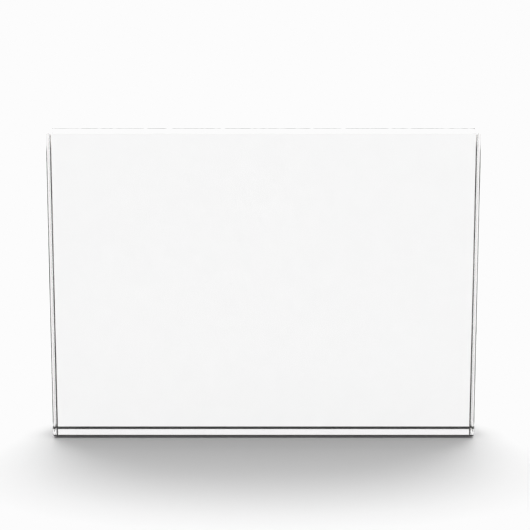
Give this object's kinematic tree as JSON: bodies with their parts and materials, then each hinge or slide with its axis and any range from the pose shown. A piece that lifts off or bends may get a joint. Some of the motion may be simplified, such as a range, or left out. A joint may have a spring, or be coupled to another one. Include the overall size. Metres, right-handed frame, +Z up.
{
  "type": "acrylic block photo display",
  "caption": "Free-standing solid block of clear acrylic with polished edges; a blank print laminated to its back shows through the front face.",
  "frame": {"origin": "middle of the footprint, on the surface the block stands on", "axes": "+X along the width towards the viewer's right, +Y along the depth from the front face to the back, +Z up from the base"},
  "size_m": [0.18, 0.0206, 0.13],
  "materials": {
    "cast_acrylic": "polished",
    "clear_adhesive": "gloss",
    "print_paper": "satin",
    "backing_vinyl": "satin"
  },
  "bodies": {
    "root": {"acrylic_block": "cast_acrylic", "mounting_film": "clear_adhesive", "photo_print": "print_paper", "backing_film": "backing_vinyl"}
  },
  "joints": []
}
